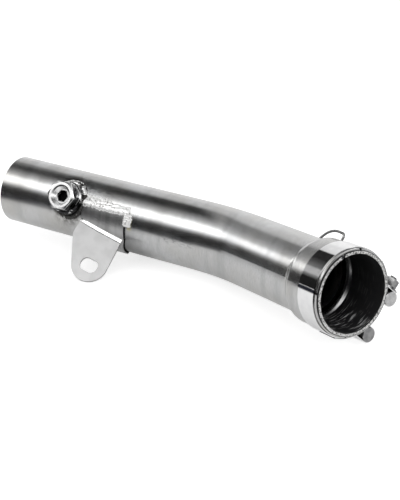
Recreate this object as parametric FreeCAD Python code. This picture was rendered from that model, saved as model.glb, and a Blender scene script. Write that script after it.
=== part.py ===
import FreeCAD, Part
import math
import os

# A stainless decat pipe for a motorcycle: a plain tube end, a straight run, one mandrel
# bend, and an expanded, slotted socket with a gasket sleeve and a barrel clamp. A plugged
# sensor bung and a slotted mounting bracket are welded to the straight run.
#
# Pipe frame, in mm: the plain end's centre is at the origin, X runs up the straight tube,
# and Y points to the inside of the bend. A place on the pipe is given by a station, which
# is the distance along its centre line, and a clock angle, which is 0 at the inside of the
# bend and 90 at the pipe frame's +Z. At the end the pipe is laid down with +Z up, in the
# attitude in which it comes to rest.

# Tube
tube_radius = 30.0
tube_wall = 1.5
straight_length = 187.4
bend_radius = 120.0
bend_angle = 29.5
neck_length = 86.3

# Expanded socket
step_length = 8.5
socket_wall = 1.05
socket_length = 34.9
slot_count = 4
slot_first_clock = 2.0
slot_width = 2.0
slot_depth = 22.4

# Gasket sleeve
gasket_bore_clearance = 0.2
gasket_thickness = 2.6
gasket_stands_proud = 0.8
gasket_gap = 0.05
gasket_nose_reach = 2.0
gasket_nose_length = 2.6
gasket_nose_taper = 0.9
gasket_nick_width = 1.4
gasket_nick_clock = -60.0

# Clamp
band_width = 17.9
band_thickness = 0.6
band_setback = 2.7
tongue_thickness = 0.25
tongue_reach = 13.0
tongue_inset = 0.4
layer_gap = 0.03
flap_reach = 34.0
flap_gap = 0.35
clamp_clock = 152.3
barrel_radius = 5.75
barrel_length = 19.0
barrel_chamfer = 0.25
barrel_offset = 16.0
barrel_rise = 3.39
barrel_gap = 0.04
bolt_radius = 3.0
bolt_chamfer = 0.6
bolt_hole_gap = 0.3
bolt_past_nut = 1.6
washer_radius = 7.8
washer_thickness = 1.4
nut_across_flats = 10.0
nut_height = 7.2
nut_chamfer = 0.8
nut_flange_radius = 6.6
nut_flange_height = 1.4
seat_gap = 0.02
thread_gap = 0.04

# Wire hook over the socket's step
hook_wire_radius = 1.0
hook_clock = -106.0
hook_back_lead = 14.6
hook_back_rise = 9.9
hook_back_run = 9.2
hook_front_lead = 9.7
hook_front_rise = 5.2
hook_front_lean = 1.1
hook_back_bend = 18.0
hook_front_bend = 2.6

# Sensor bung and plug
bung_station = 73.6
bung_clock = -14.1
bung_radius = 14.6
bung_height = 7.2
bung_rim = 1.0
bung_thread_radius = 9.0
bung_weld_leg = 2.7
sensor_hole_radius = 9.6
plug_turn = 1.5
plug_across_flats = 24.0
plug_head_height = 7.9
plug_chamfer = 1.2
plug_chamfer_reach = 2.2
plug_collar_radius = 12.9
plug_collar_height = 1.6
plug_stub_length = 9.5
plug_recess_across_flats = 10.0
plug_recess_depth = 8.3
plug_corner_radius = 13.5
plug_dish_radius = 9.3
plug_dish_floor = 6.3
plug_dish_depth = 3.8
plug_washer_radius = 13.6
plug_washer_thickness = 1.3

# Bracket saddle
saddle_thickness = 2.2
saddle_start = 89.6
saddle_end = 132.8
saddle_top_clock = -11.0
saddle_bottom_clock = 82.0
saddle_slant_clock = 32.0
saddle_slant_angle = 22.5
saddle_weld_half_width = 2.9
saddle_weld_half_height = 1.5
saddle_weld_lift = 1.5
saddle_weld_end_clock = 5.0
saddle_weld_end_offset = 0.9

# Bracket tab, drawn in its own plane: u along its straight top edge, v up the plate
tab_thickness = 2.2
tab_left_clock = 15.1
tab_right_clock = 33.9
tab_left_inset = 0.2
tab_right_inset = 2.7
tab_face_clock = -34.0
tab_end_radius = 16.0
tab_end_u = 29.5
tab_end_v = -30.9
tab_left_drop = 12.6
tab_left_fillet = 14.0
tab_slot_length = 15.8
tab_slot_height = 11.8
tab_slot_corner = 5.2
tab_slot_drop = 1.0
tab_weld_leg = 2.4
tab_weld_bulge = 0.3

# Resting attitude: the three pieces that meet the floor, and roughly which way is down
rest_feet = ("bracket_tab", "clamp_band", "main_tube")
rest_guess = FreeCAD.Vector(0.06, -0.34, 0.94)
rest_rounds = 12
rest_tolerance = 0.05

# Worked out from the values above
gasket_bore_radius = tube_radius + gasket_bore_clearance
gasket_radius = gasket_bore_radius + gasket_thickness
socket_bore = gasket_radius + gasket_gap
socket_radius = socket_bore + socket_wall
bend_length = math.radians(bend_angle) * bend_radius
step_station = straight_length + bend_length + neck_length
socket_station = step_station + step_length
socket_end = socket_station + socket_length
band_front = socket_end - band_setback
band_back = band_front - band_width
clamp_station = (band_front + band_back) / 2
tongue_radius = socket_radius + layer_gap
band_radius = tongue_radius + tongue_thickness + layer_gap
band_outer = band_radius + band_thickness
barrel_height = band_outer + barrel_rise
loop_inner = barrel_radius + barrel_gap
loop_outer = loop_inner + band_thickness
inner_leg = barrel_offset - loop_outer
nut_seat = barrel_offset + loop_outer + seat_gap
saddle_inner = tube_radius + seat_gap
saddle_outer = saddle_inner + saddle_thickness
bung_top = tube_radius + bung_height
plug_seat = bung_top + plug_washer_thickness + 2 * seat_gap
origin = FreeCAD.Vector(0, 0, 0)
axis_x = FreeCAD.Vector(1, 0, 0)
axis_y = FreeCAD.Vector(0, 1, 0)
axis_z = FreeCAD.Vector(0, 0, 1)
margin = 1.0


def vector(x, y, z):
    return FreeCAD.Vector(x, y, z)


def frame_at(station):
    """A placement on the centre line: local X to the bend's inside, local Z forward."""
    turned = min(max(station - straight_length, 0.0) / bend_radius, math.radians(bend_angle))
    forward = vector(math.cos(turned), math.sin(turned), 0)
    inside = vector(-math.sin(turned), math.cos(turned), 0)
    run = min(station, straight_length)
    rest = max(station - straight_length - bend_length, 0.0)
    place = vector(run + bend_radius * math.sin(turned), bend_radius * (1 - math.cos(turned)), 0)
    rotation = FreeCAD.Rotation(inside, axis_z, forward, "ZXY")
    return FreeCAD.Placement(place + forward * rest, rotation)


# Local Z is the station along the straight run, and along the neck and socket
run_frame = frame_at(0)
neck_frame = frame_at(step_station).multiply(
    FreeCAD.Placement(vector(0, 0, -step_station), FreeCAD.Rotation()))


def placed(shape, placement):
    moved = shape.copy()
    moved.Placement = placement.multiply(moved.Placement)
    return moved


def turned_z(shape, degrees):
    moved = shape.copy()
    moved.rotate(origin, axis_z, degrees)
    return moved


def disc(radius, low, high):
    return Part.makeCylinder(radius, high - low, vector(0, 0, low))


def ring(inner, outer, low, high):
    return disc(outer, low, high).cut(disc(inner, low - margin, high + margin))


def block(x_range, y_range, z_range):
    corner = vector(x_range[0], y_range[0], z_range[0])
    return Part.makeBox(x_range[1] - x_range[0], y_range[1] - y_range[0], z_range[1] - z_range[0], corner)


def prism(points, low, high):
    corners = [vector(x, y, low) for x, y in points]
    face = Part.Face(Part.makePolygon(corners + [corners[0]]))
    return face.extrude(vector(0, 0, high - low))


def hexagon(across_flats, low, high):
    corner = across_flats / math.sqrt(3)
    angles = [math.radians(60 * k) for k in range(6)]
    return prism([(corner * math.cos(a), corner * math.sin(a)) for a in angles], low, high)


def revolved(points, degrees=360):
    """Turns an outline of (radius, height) points about local Z."""
    corners = [vector(radius, 0, height) for radius, height in points]
    face = Part.Face(Part.makePolygon(corners + [corners[0]]))
    return face.revolve(origin, axis_z, degrees)


def sector(inner, outer, start, end, low, high):
    """A ring between two clock angles."""
    outline = [(inner, low), (outer, low), (outer, high), (inner, high)]
    return turned_z(revolved(outline, end - start), start)


def bulged(start, end, bulge):
    """An arc from start to end that stands out to the left of its chord."""
    chord = end - start
    side = vector(-chord.y, chord.x, 0)
    side.normalize()
    return Part.Arc(start, (start + end) * 0.5 + side * bulge, end).toShape()


def rounded_path(corners, radii):
    """Straight runs joined by tangent arcs, as one wire."""
    edges = []
    last = corners[0]
    for k, radius in enumerate(radii):
        before = corners[k] - corners[k + 1]
        after = corners[k + 2] - corners[k + 1]
        before.normalize()
        after.normalize()
        half = before.getAngle(after) / 2
        reach = radius / math.tan(half)
        middle = before + after
        middle.normalize()
        enter = corners[k + 1] + before * reach
        leave = corners[k + 1] + after * reach
        crown = corners[k + 1] + middle * (radius / math.sin(half) - radius)
        edges.append(Part.LineSegment(last, enter).toShape())
        edges.append(Part.Arc(enter, crown, leave).toShape())
        last = leave
    edges.append(Part.LineSegment(last, corners[-1]).toShape())
    return Part.Wire(edges)


def swelling_bar(low_radius, high_radius, back, front):
    """A solid bar that swells from one radius to the other over the socket's step."""
    rise = high_radius - low_radius
    bow = (step_length ** 2 + rise ** 2) / (4 * rise)
    quarter = math.asin(step_length / 2 / bow) / 2
    sag = bow * (1 - math.cos(quarter))
    reach = bow * math.sin(quarter)
    low_end = vector(low_radius, 0, step_station)
    low_middle = vector(low_radius + sag, 0, step_station + reach)
    middle = vector((low_radius + high_radius) / 2, 0, step_station + step_length / 2)
    high_middle = vector(high_radius - sag, 0, socket_station - reach)
    high_end = vector(high_radius, 0, socket_station)
    low_rim = vector(low_radius, 0, back)
    high_rim = vector(high_radius, 0, front)
    edges = [
        Part.LineSegment(vector(0, 0, back), low_rim).toShape(),
        Part.LineSegment(low_rim, low_end).toShape(),
        Part.Arc(low_end, low_middle, middle).toShape(),
        Part.Arc(middle, high_middle, high_end).toShape(),
        Part.LineSegment(high_end, high_rim).toShape(),
        Part.LineSegment(high_rim, vector(0, 0, front)).toShape(),
        Part.LineSegment(vector(0, 0, front), vector(0, 0, back)).toShape(),
    ]
    return Part.Face(Part.Wire(edges)).revolve(origin, axis_z, 360)


def pipe_bar(run_radius, end_radius, overrun):
    """The pipe's shape as a solid bar, from the plain end to the socket's rim."""
    straight = placed(disc(run_radius, -overrun, straight_length), run_frame)
    bend_start = frame_at(straight_length)
    section = Part.Face(Part.Wire(Part.Circle(bend_start.Base, axis_x, run_radius).toShape()))
    bend = section.revolve(bend_start.Base + axis_y * bend_radius, axis_z, bend_angle)
    neck_start = step_station - neck_length
    end = placed(swelling_bar(run_radius, end_radius, neck_start, socket_end + overrun), neck_frame)
    return straight.fuse([bend, end])


def bung_frame():
    """Local Z runs out along the bung's axis from the pipe's centre line."""
    spin = FreeCAD.Rotation(axis_z, bung_clock)
    outward = FreeCAD.Rotation(axis_y, 90)
    return frame_at(bung_station).multiply(FreeCAD.Placement(origin, spin.multiply(outward)))


def clamp_frame():
    """Local X points out through the clamp's gap, and local Y along the bolt to its nut."""
    return neck_frame.multiply(FreeCAD.Placement(origin, FreeCAD.Rotation(axis_z, clamp_clock)))


def tube_bar_on_bung(radius):
    """The straight tube as a bar, seen from the bung's frame."""
    reach = 4 * bung_radius
    return Part.makeCylinder(radius, reach, vector(-reach / 2, 0, 0), axis_x)


def end_slot():
    """One slot sawn in from the socket's rim, with a round end."""
    tip_height = socket_end - slot_depth + slot_width / 2
    inner = socket_bore - margin
    outer = socket_radius + margin
    sides = (-slot_width / 2, slot_width / 2)
    straight = block((inner, outer), sides, (tip_height, socket_end + margin))
    tip = Part.makeCylinder(slot_width / 2, outer - inner, vector(inner, 0, tip_height), axis_x)
    return straight.fuse(tip)


def main_tube():
    outer = pipe_bar(tube_radius, socket_radius, 0)
    inner = pipe_bar(tube_radius - tube_wall, socket_bore, margin)
    tube = outer.cut(inner)
    for k in range(slot_count):
        clock = slot_first_clock + 360.0 / slot_count * k
        tube = tube.cut(placed(turned_z(end_slot(), clock), neck_frame))
    hole = placed(disc(sensor_hole_radius, tube_radius / 2, bung_top), bung_frame())
    return tube.cut(hole).removeSplitter()


def gasket_sleeve():
    """A sleeve whose tapered nose reaches a little way into the step."""
    front = socket_end + gasket_stands_proud
    back = socket_station - gasket_nose_reach
    sleeve = revolved([(gasket_bore_radius, back), (gasket_radius - gasket_nose_taper, back),
                       (gasket_radius, back + gasket_nose_length), (gasket_radius, front),
                       (gasket_bore_radius, front)])
    radial = (gasket_bore_radius - margin, gasket_radius + margin)
    sides = (-gasket_nick_width / 2, gasket_nick_width / 2)
    nick = block(radial, sides, (front - gasket_nick_width, front + margin))
    return placed(sleeve.cut(turned_z(nick, gasket_nick_clock)), neck_frame)


def strap_loop(side):
    """The strap's loop about one barrel, with its two straight legs down to the band."""
    centre = side * barrel_offset
    low = band_back
    high = band_front
    outer = disc(loop_outer, low, high)
    outer.translate(vector(barrel_height, centre, 0))
    outer_legs = block((0, barrel_height), (centre - loop_outer, centre + loop_outer), (low, high))
    hollow = disc(loop_inner, low - margin, high + margin)
    hollow.translate(vector(barrel_height, centre, 0))
    inner_legs = block((0, barrel_height), (centre - loop_inner, centre + loop_inner),
                       (low - margin, high + margin))
    loop = outer.fuse(outer_legs).cut(hollow.fuse(inner_legs))
    return loop.cut(disc(band_radius, low - margin, high + margin))


def clamp_band():
    half_gap = math.degrees(math.asin(inner_leg / band_outer))
    band = sector(band_radius, band_outer, half_gap, 360 - half_gap, band_back, band_front)
    foot = math.degrees(math.asin((barrel_offset + loop_inner) / (band_outer + flap_gap)))
    flaps = [sector(band_outer + flap_gap, band_outer + flap_gap + band_thickness, start,
                    start + flap_reach, band_back, band_front)
             for start in (foot, 360 - foot - flap_reach)]
    band = band.fuse(flaps + [strap_loop(side) for side in (-1, 1)])
    half_slot = bolt_radius + bolt_hole_gap
    bolt_slot = block((band_outer + seat_gap, barrel_height + half_slot),
                      (-inner_leg - band_thickness - margin, nut_seat + margin),
                      (clamp_station - half_slot, clamp_station + half_slot))
    return placed(band.cut(bolt_slot).removeSplitter(), clamp_frame())


def clamp_tongue():
    half_gap = math.degrees(math.asin(inner_leg / band_outer)) + tongue_reach
    tongue = sector(tongue_radius, tongue_radius + tongue_thickness, -half_gap, half_gap,
                    band_back + tongue_inset, band_front - tongue_inset)
    return placed(tongue, clamp_frame())


def barrel(side, bore_start):
    body = disc(barrel_radius, clamp_station - barrel_length / 2, clamp_station + barrel_length / 2)
    rims = [edge for edge in body.Edges if edge.Closed]
    body = body.makeChamfer(barrel_chamfer, rims)
    bore_end = barrel_radius + margin
    bore = Part.makeCylinder(bolt_radius + thread_gap, bore_end - bore_start,
                             vector(0, bore_start, clamp_station), axis_y)
    body = body.cut(bore)
    body.translate(vector(barrel_height, side * barrel_offset, 0))
    return placed(body, clamp_frame())


def upper_barrel():
    return barrel(1, -barrel_radius - margin)


def lower_barrel():
    return barrel(-1, -barrel_radius / 2)


def along_bolt(shape, start):
    """Lays a shape that stands on local Z along the bolt, from a point past the gap's middle."""
    moved = shape.copy()
    moved.rotate(origin, axis_x, -90)
    moved.translate(vector(barrel_height, start, clamp_station))
    return placed(moved, clamp_frame())


def clamp_washer():
    return along_bolt(ring(bolt_radius + bolt_hole_gap, washer_radius, 0, washer_thickness), nut_seat)


nut_start = nut_seat + washer_thickness + seat_gap


def clamp_nut():
    corner = nut_across_flats / math.sqrt(3)
    envelope = revolved([(0, 0), (corner, 0), (corner, nut_height - nut_chamfer * 0.6),
                         (corner - nut_chamfer, nut_height), (0, nut_height)])
    flange = revolved([(0, 0), (nut_flange_radius, 0), (nut_flange_radius, nut_flange_height / 2),
                       (bolt_radius + margin, nut_flange_height * 1.5), (0, nut_flange_height * 1.5)])
    body = hexagon(nut_across_flats, 0, nut_height).common(envelope).fuse(flange)
    body = body.cut(disc(bolt_radius + thread_gap, -margin, nut_height + margin))
    return along_bolt(body.removeSplitter(), nut_start)


def clamp_bolt():
    start = -barrel_offset - barrel_radius / 2 + 2 * seat_gap
    length = nut_start + nut_height + bolt_past_nut - start
    stud = revolved([(0, 0), (bolt_radius, 0), (bolt_radius, length - bolt_chamfer),
                     (bolt_radius - bolt_chamfer, length), (0, length)])
    return along_bolt(stud, start)


def wire_hook():
    """A bent wire welded by its feet to the tube and the socket, over the step."""
    back_foot = vector(tube_radius - margin, 0, step_station - hook_back_lead)
    back_corner = vector(tube_radius + hook_back_rise, 0, step_station - hook_back_lead + hook_back_run)
    front_foot = vector(socket_radius - margin, 0, step_station + hook_front_lead)
    front_corner = vector(socket_radius + hook_front_rise, 0, front_foot.z + hook_front_lean)
    path = rounded_path([back_foot, back_corner, front_corner, front_foot],
                        [hook_back_bend, hook_front_bend])
    heading = back_corner - back_foot
    section = Part.Wire(Part.Circle(back_foot, heading, hook_wire_radius).toShape())
    wire = path.makePipeShell([section], True, False)
    wire = placed(turned_z(wire, hook_clock), neck_frame)
    return wire.cut(pipe_bar(tube_radius + seat_gap, socket_radius + seat_gap, 0))


def sensor_bung():
    body = disc(bung_radius, tube_radius / 2, bung_top)
    rim = [edge for edge in body.Edges if edge.Closed and edge.CenterOfMass.z > tube_radius]
    body = body.makeChamfer(bung_rim, rim)
    body = body.cut(disc(bung_thread_radius + thread_gap, 0, bung_top + margin))
    return placed(body.cut(tube_bar_on_bung(tube_radius + seat_gap)), bung_frame())


def bung_weld():
    """The bead around the bung's foot, which follows the tube's curve."""
    tube = tube_bar_on_bung(tube_radius + seat_gap)
    boss = disc(bung_radius, tube_radius / 2, bung_top)
    joined = tube.fuse(boss).removeSplitter()
    foot = []
    for edge in joined.Edges:
        points = edge.discretize(9)
        on_boss = all(abs(math.hypot(p.x, p.y) - bung_radius) < 0.01 for p in points)
        below_top = all(p.z < bung_top - margin for p in points)
        spread = max(p.x for p in points) - min(p.x for p in points)
        if on_boss and below_top and spread > bung_radius / 2:
            foot.append(edge)
    bead = joined.makeChamfer(bung_weld_leg, foot)
    return placed(bead.cut([tube, boss]), bung_frame())


def plug_washer():
    low = bung_top + seat_gap
    washer = ring(bung_thread_radius + thread_gap, plug_washer_radius, low, low + plug_washer_thickness)
    return placed(washer, bung_frame())


def bung_plug():
    top = plug_seat + plug_head_height
    corner = plug_corner_radius
    envelope = revolved([(0, plug_seat), (corner, plug_seat), (corner, top - plug_chamfer),
                         (corner - plug_chamfer_reach, top), (0, top)])
    head = turned_z(hexagon(plug_across_flats, plug_seat + plug_collar_height, top), plug_turn)
    collar = disc(plug_collar_radius, plug_seat, plug_seat + plug_collar_height)
    stub = disc(bung_thread_radius, bung_top - plug_stub_length, plug_seat)
    plug = head.common(envelope).fuse([collar, stub])
    recess = turned_z(hexagon(plug_recess_across_flats, top - plug_recess_depth, top + margin), plug_turn)
    dish = revolved([(0, top - plug_dish_depth), (plug_dish_floor, top - plug_dish_depth),
                     (plug_dish_radius, top), (plug_dish_radius, top + margin), (0, top + margin)])
    return placed(plug.cut([recess, dish]).removeSplitter(), bung_frame())


def room_for_bung():
    """What is trimmed off the bracket and its bead so that they clear the bung's weld."""
    radius = bung_radius + bung_weld_leg + 10 * seat_gap
    return placed(disc(radius, tube_radius / 2, bung_top), bung_frame())


def slant_cutter():
    """The half-space past the saddle's slanted end, below its upper part."""
    size = 4 * saddle_outer
    cutter = block((-size, size), (0, size), (0, size))
    cutter.rotate(origin, axis_x, -saddle_slant_angle)
    hinge = saddle_outer * math.sin(math.radians(saddle_slant_clock))
    cutter.translate(vector(0, hinge, saddle_end))
    return cutter


def bracket_saddle():
    sheet = sector(saddle_inner, saddle_outer, saddle_top_clock, saddle_bottom_clock,
                   saddle_start, saddle_end)
    sheet = placed(sheet.cut(slant_cutter()), run_frame)
    return sheet.cut(room_for_bung()).removeSplitter()


def bead_outline(centre, across, outward):
    """A weld bead's oval section, as a wire."""
    oval = Part.Ellipse(centre + across * saddle_weld_half_width,
                        centre + outward * saddle_weld_half_height, centre)
    return Part.Wire(oval.toShape())


def saddle_weld():
    """One bead that lies over the saddle's upper edge, turns its corner and runs down its end."""
    radius = tube_radius + saddle_weld_lift
    corner_station = saddle_end + saddle_weld_end_offset
    start = vector(radius, 0, saddle_start)
    corner = vector(radius, 0, corner_station)
    along = Part.Face(bead_outline(start, axis_y, axis_x)).extrude(corner - start)
    round_end = Part.Face(bead_outline(corner, axis_z, axis_x))
    down = round_end.revolve(origin, axis_z, saddle_weld_end_clock - saddle_top_clock)
    knob = Part.makeSphere(1)
    swell = FreeCAD.Matrix()
    swell.scale(saddle_weld_half_height, saddle_weld_half_width, saddle_weld_half_width)
    knob = knob.transformGeometry(swell)
    knob.translate(corner)
    tail = turned_z(knob, saddle_weld_end_clock - saddle_top_clock)
    bead = turned_z(along.fuse([down, knob, tail]), saddle_top_clock)
    sheet = sector(tube_radius - margin, saddle_outer, saddle_top_clock, saddle_bottom_clock,
                   saddle_start, saddle_end)
    bead = bead.cut([disc(saddle_inner, 0, 2 * saddle_end), sheet])
    return placed(bead, run_frame).cut(room_for_bung()).removeSplitter()


def on_saddle(station, clock):
    angle = math.radians(clock)
    return vector(station, saddle_outer * math.cos(angle), saddle_outer * math.sin(angle))


def tab_frame():
    """Local X runs along the tab's top edge, local Y up the plate, local Z out of its face."""
    left = on_saddle(saddle_start - tab_left_inset, tab_left_clock)
    right = on_saddle(saddle_end - tab_right_inset, tab_right_clock)
    along = right - left
    length = along.Length
    along.normalize()
    angle = math.radians(tab_face_clock)
    facing = vector(0, math.cos(angle), math.sin(angle))
    facing = facing - along * facing.dot(along)
    facing.normalize()
    up = facing.cross(along)
    return FreeCAD.Placement(left, FreeCAD.Rotation(along, up, facing, "ZXY")), length


def touch_point(corner, side):
    """Where a line from a corner touches the tab's round end, on its left or right."""
    centre = vector(tab_end_u, tab_end_v, 0)
    away = corner - centre
    swing = math.acos(tab_end_radius / away.Length)
    turn = FreeCAD.Rotation(axis_z, math.degrees(swing) * side)
    away.normalize()
    return centre + turn.multVec(away) * tab_end_radius


def rounded_slot():
    half_u = tab_slot_length / 2
    half_v = tab_slot_height / 2
    hole = block((-half_u, half_u), (-half_v, half_v), (-tab_thickness - margin, margin))
    corners = [edge for edge in hole.Edges if abs(edge.Vertexes[0].Z - edge.Vertexes[1].Z) > tab_thickness]
    hole = hole.makeFillet(tab_slot_corner, corners)
    hole.translate(vector(tab_end_u, tab_end_v - tab_slot_drop, 0))
    return hole


def saddle_bar():
    """The saddle's outer surface as a solid bar, which the tab and its weld are fitted to."""
    return Part.makeCylinder(saddle_outer + seat_gap, 4 * saddle_end, vector(-saddle_end, 0, 0), axis_x)


def bracket_tab():
    frame, length = tab_frame()
    rise = 2 * tab_thickness
    left_corner = vector(0, -tab_left_drop, 0)
    right_corner = vector(length, rise, 0)
    left_touch = touch_point(left_corner, 1)
    right_touch = touch_point(right_corner, -1)
    bottom = vector(tab_end_u, tab_end_v - tab_end_radius, 0)
    edges = [
        Part.LineSegment(vector(0, rise, 0), left_corner).toShape(),
        Part.LineSegment(left_corner, left_touch).toShape(),
        Part.Arc(left_touch, bottom, right_touch).toShape(),
        Part.LineSegment(right_touch, right_corner).toShape(),
        Part.LineSegment(right_corner, vector(0, rise, 0)).toShape(),
    ]
    plate = Part.Face(Part.Wire(edges)).extrude(vector(0, 0, -tab_thickness))
    bends = [edge for edge in plate.Edges
             if all(abs(v.X) < 0.01 and abs(v.Y + tab_left_drop) < 0.01 for v in edge.Vertexes)]
    plate = plate.makeFillet(tab_left_fillet, bends).cut(rounded_slot())
    return placed(plate, frame).cut(saddle_bar())


def tab_weld():
    """A smooth straight bead in the corner between the saddle and the tab's face."""
    frame, length = tab_frame()
    middle_clock = math.radians((tab_left_clock + tab_right_clock) / 2)
    outward = vector(0, math.cos(middle_clock), math.sin(middle_clock))
    local = frame.Rotation.inverted().multVec(outward)
    climb = vector(local.z, -local.y, 0)
    climb.normalize()
    toe = vector(-tab_weld_leg, seat_gap, 0)
    crest = vector(climb.x * tab_weld_leg, climb.y * tab_weld_leg, 0)
    root = vector(tab_weld_leg, seat_gap, 0)
    edges = [
        bulged(crest, toe, -tab_weld_bulge),
        Part.LineSegment(toe, root).toShape(),
        Part.LineSegment(root, crest).toShape(),
    ]
    bead = Part.Face(Part.Wire(edges)).extrude(vector(0, 0, length))
    upright = FreeCAD.Rotation(axis_y, axis_z, axis_x, "ZXY")
    bead = placed(bead, frame.multiply(FreeCAD.Placement(origin, upright)))
    return bead.cut(saddle_bar())


def resting_down(shapes):
    """Which way points down, in the pipe frame, once the pipe lies on its three feet."""
    surfaces = [shapes[name].tessellate(rest_tolerance)[0] for name in rest_feet]
    down = rest_guess
    for _ in range(rest_rounds):
        feet = [max(surface, key=down.dot) for surface in surfaces]
        normal = (feet[1] - feet[0]).cross(feet[2] - feet[0])
        down = normal * math.copysign(1 / normal.Length, normal.dot(down))
    return down


def laid_down(shapes):
    """Turns the pipe into its resting attitude and stands its box on the floor."""
    up = resting_down(shapes) * -1
    along = axis_x - up * axis_x.dot(up)
    along.normalize()
    turn = FreeCAD.Rotation(along, up.cross(along), up, "ZXY").inverted()
    rested = {name: placed(shape, FreeCAD.Placement(origin, turn)) for name, shape in shapes.items()}
    whole = FreeCAD.BoundBox()
    for shape in rested.values():
        whole.add(shape.optimalBoundingBox(False))
    centre = whole.Center
    shift = FreeCAD.Placement(vector(-centre.x, -centre.y, -whole.ZMin), FreeCAD.Rotation())
    return {name: placed(shape, shift) for name, shape in rested.items()}


nodes = {
    "main_tube": main_tube(),
    "gasket_sleeve": gasket_sleeve(),
    "clamp_band": clamp_band(),
    "clamp_tongue": clamp_tongue(),
    "upper_barrel": upper_barrel(),
    "lower_barrel": lower_barrel(),
    "clamp_bolt": clamp_bolt(),
    "clamp_washer": clamp_washer(),
    "clamp_nut": clamp_nut(),
    "wire_hook": wire_hook(),
    "sensor_bung": sensor_bung(),
    "bung_weld": bung_weld(),
    "plug_washer": plug_washer(),
    "bung_plug": bung_plug(),
    "bracket_saddle": bracket_saddle(),
    "saddle_weld": saddle_weld(),
    "bracket_tab": bracket_tab(),
    "tab_weld": tab_weld(),
}

os.makedirs("parts", exist_ok=True)
for name, shape in laid_down(nodes).items():
    print(name, len(shape.Solids), round(shape.Volume, 1), shape.isValid())
    shape.exportStep(os.path.join("parts", name + ".step"))
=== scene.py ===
import math
import random

import bpy
from mathutils import Matrix, Vector


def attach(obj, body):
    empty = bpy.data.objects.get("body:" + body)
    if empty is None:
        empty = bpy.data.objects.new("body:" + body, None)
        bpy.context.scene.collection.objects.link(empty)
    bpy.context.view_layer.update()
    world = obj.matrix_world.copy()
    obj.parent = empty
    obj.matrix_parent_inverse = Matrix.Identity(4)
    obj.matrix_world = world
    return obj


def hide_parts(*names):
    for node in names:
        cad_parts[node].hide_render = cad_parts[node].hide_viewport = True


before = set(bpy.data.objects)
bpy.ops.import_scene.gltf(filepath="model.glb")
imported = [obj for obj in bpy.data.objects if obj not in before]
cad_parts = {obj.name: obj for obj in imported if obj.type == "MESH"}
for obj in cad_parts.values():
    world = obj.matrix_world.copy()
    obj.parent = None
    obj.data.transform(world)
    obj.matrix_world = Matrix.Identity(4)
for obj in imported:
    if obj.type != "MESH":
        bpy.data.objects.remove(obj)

# Decat pipe: stainless tube with a plugged bung, a bracket and a clamped socket.
# Metres, lying on the floor as the CAD says. A place on the straight run has a station,
# which is its distance from the plain end, and a clock in degrees, which is 0 at the
# inside of the bend and 90 at the pipe's side axis, underneath in the photo.

for name in ("Cube", "Light", "Camera"):
    if name in bpy.data.objects:
        bpy.data.objects.remove(bpy.data.objects[name])
bpy.ops.object.select_all(action="DESELECT")
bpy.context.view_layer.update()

pipe = {
    "start": Vector((-0.189331, 0.037401, 0.041695)),  # centre of the plain end
    "along": Vector((0.998252, 0.0, -0.059109)),
    "inside": Vector((0.01995, -0.941319, 0.336928)),
    "side": Vector((-0.055641, -0.337518, -0.939673)),
    "radius": 0.030,
    "straight": 0.1874,
    "bendRadius": 0.120,
    "bendAngle": math.radians(29.5),
}
bendCosine, bendSine = math.cos(pipe["bendAngle"]), math.sin(pipe["bendAngle"])
neckAxis = pipe["along"] * bendCosine + pipe["inside"] * bendSine
neckInside = pipe["inside"] * bendCosine - pipe["along"] * bendSine
bendCentre = (pipe["start"] + pipe["along"] * pipe["straight"]
              + pipe["inside"] * pipe["bendRadius"])
neckStart = bendCentre - neckInside * pipe["bendRadius"]


def outwardAt(clock):
    angle = math.radians(clock)
    return pipe["inside"] * math.cos(angle) + pipe["side"] * math.sin(angle)


def onRun(station, clock, radius):
    return pipe["start"] + pipe["along"] * station + outwardAt(clock) * radius


# Camera at the photo's viewing angle
camera = {
    "place": (0.44038, -0.71678, 0.43499),
    "turn": (64.3422, 2.3686, 29.129),
    "lens": 80.88,
}
cameraData = bpy.data.cameras.new("camera")
cameraData.lens = camera["lens"]
cameraObject = bpy.data.objects.new("camera", cameraData)
bpy.context.scene.collection.objects.link(cameraObject)
cameraObject.location = camera["place"]
cameraObject.rotation_euler = [math.radians(a) for a in camera["turn"]]
bpy.context.scene.camera = cameraObject
bpy.context.scene.view_settings.view_transform = "Standard"
print("camera ready")


# Node helpers. An input is given by its name, or as i0, i1 and so on by its number.
def addNode(tree, kind, settings=None, **inputs):
    node = tree.nodes.new(kind)
    for key, value in (settings or {}).items():
        setattr(node, key, value)
    for key, value in inputs.items():
        number = key[1:]
        socket = node.inputs[int(number) if number.isdigit() else key.replace("_", " ")]
        if isinstance(value, bpy.types.NodeSocket):
            tree.links.new(value, socket)
        else:
            socket.default_value = value
    return node


def mathNode(tree, operation, first, second=0.0):
    settings = {"operation": operation}
    return addNode(tree, "ShaderNodeMath", settings, i0=first, i1=second).outputs[0]


def product(tree, *factors):
    result = factors[0]
    for factor in factors[1:]:
        result = mathNode(tree, "MULTIPLY", result, factor)
    return result


def minus(tree, first, second):
    return mathNode(tree, "SUBTRACT", first, second)


def distanceTo(tree, value, centre):
    return mathNode(tree, "ABSOLUTE", minus(tree, value, centre))


def crossLength(tree, first, second):
    squares = mathNode(tree, "ADD", product(tree, first, first), product(tree, second, second))
    return mathNode(tree, "SQRT", squares)


def vectorNode(tree, operation, first, second=(0, 0, 0), result="Vector"):
    settings = {"operation": operation}
    return addNode(tree, "ShaderNodeVectorMath", settings, i0=first, i1=second).outputs[result]


def dotNode(tree, vector, axis):
    return vectorNode(tree, "DOT_PRODUCT", vector, tuple(axis), "Value")


def grey(value):
    return (value, value, value)


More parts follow.
